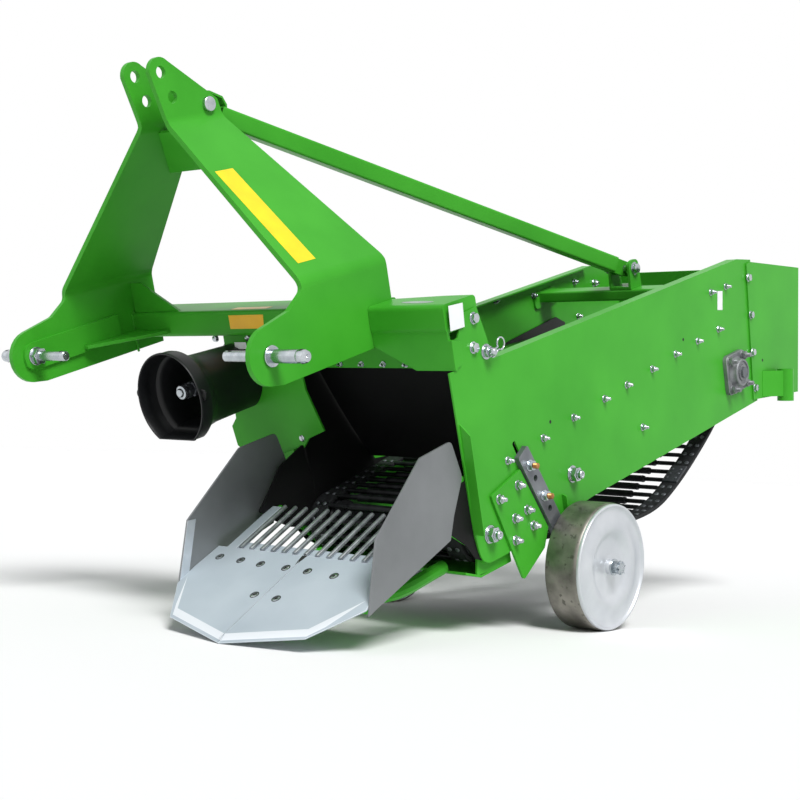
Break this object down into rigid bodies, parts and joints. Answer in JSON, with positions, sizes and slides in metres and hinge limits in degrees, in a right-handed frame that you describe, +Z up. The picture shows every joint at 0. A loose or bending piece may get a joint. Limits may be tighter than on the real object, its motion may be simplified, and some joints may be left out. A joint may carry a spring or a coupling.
{
  "type": "potato harvester",
  "caption": "Single-row elevator potato digger on a three-point hitch frame, with share, rod web, side plates, strut and two depth wheels.",
  "frame": {"origin": "centre of the bounding box at floor level, parked on share tip and wheels", "axes": "+Z up, -Y towards the tractor, +X the machine's left"},
  "size_m": [1.2022, 2.0546, 1.1915],
  "materials": {
    "green_paint": "gloss green paint over steel plate",
    "share_steel": "pale blue-grey bare steel",
    "wing_steel": "mid grey bare steel plate",
    "zinc_plated_steel": "bright zinc",
    "galvanised_steel": "pale galvanised disc, darker worn tread",
    "dark_steel": "dark hot-rolled steel",
    "cast_housing": "grey casting",
    "black_plastic": "satin black plastic",
    "black_rubber": "matt black rubber sheet",
    "black_steel_rods": "black rods riveted to black belts"
  },
  "bodies": {
    "frame": {"arm_skirt_left": "black_rubber", "arm_skirt_right": "black_rubber", "beam_end_box": "green_paint", "carrying_roller": "dark_steel", "chain_case": "green_paint", "cross_beam": "green_paint", "curtain_strip": "green_paint", "drive_bearing": "cast_housing", "drive_shaft": "dark_steel", "elevator_web": "black_steel_rods", "floor_cross_plate": "green_paint", "front_roller": "dark_steel", "gearbox": "cast_housing", "gearbox_hanger": "green_paint", "gearbox_shield": "green_paint", "guard_plate_left": "green_paint", "guard_plate_right": "green_paint", "headstock_leg_left": "green_paint", "headstock_leg_right": "green_paint", "headstock_tie_plate": "green_paint", "lower_link_pin_left": "zinc_plated_steel", "lower_link_pin_right": "zinc_plated_steel", "pto_guard": "black_plastic", "rear_cross_plate": "green_paint", "rear_cross_tube": "green_paint", "rear_extension_left": "green_paint", "rear_extension_right": "green_paint", "rubber_curtain": "black_rubber", "shaker_roller": "dark_steel", "share_blade_left": "share_steel", "share_blade_right": "share_steel", "share_carrier": "green_paint", "share_grid": "share_steel", "share_wing_left": "wing_steel", "share_wing_right": "wing_steel", "side_panel_left": "green_paint", "side_panel_right": "green_paint", "side_rubber_left": "black_rubber", "side_rubber_right": "black_rubber", "skid_tube": "green_paint", "strut": "green_paint", "strut_bolt_front": "zinc_plated_steel", "strut_bolt_rear": "zinc_plated_steel", "strut_bracket": "green_paint", "wheel_arm_left": "dark_steel", "wheel_arm_right": "dark_steel"},
    "left_wheel": {"wheel_left": "galvanised_steel"},
    "right_wheel": {"wheel_right": "galvanised_steel"},
    "pto_stub": {"pto_shaft": "dark_steel"}
  },
  "joints": [
    {"name": "wheel_left_spin", "type": "hinge", "parent": "frame", "child": "left_wheel", "pos_m": [0.53085, -0.15469, 0.144], "axis": [1, 0, 0], "continuous": true},
    {"name": "wheel_right_spin", "type": "hinge", "parent": "frame", "child": "right_wheel", "pos_m": [-0.08915, -0.15469, 0.144], "axis": [1, 0, 0], "continuous": true},
    {"name": "pto_shaft_spin", "type": "hinge", "parent": "frame", "child": "pto_stub", "pos_m": [-0.17465, -0.69686, 0.52126], "axis": [0, 0.9551, 0.2964], "continuous": true}
  ]
}
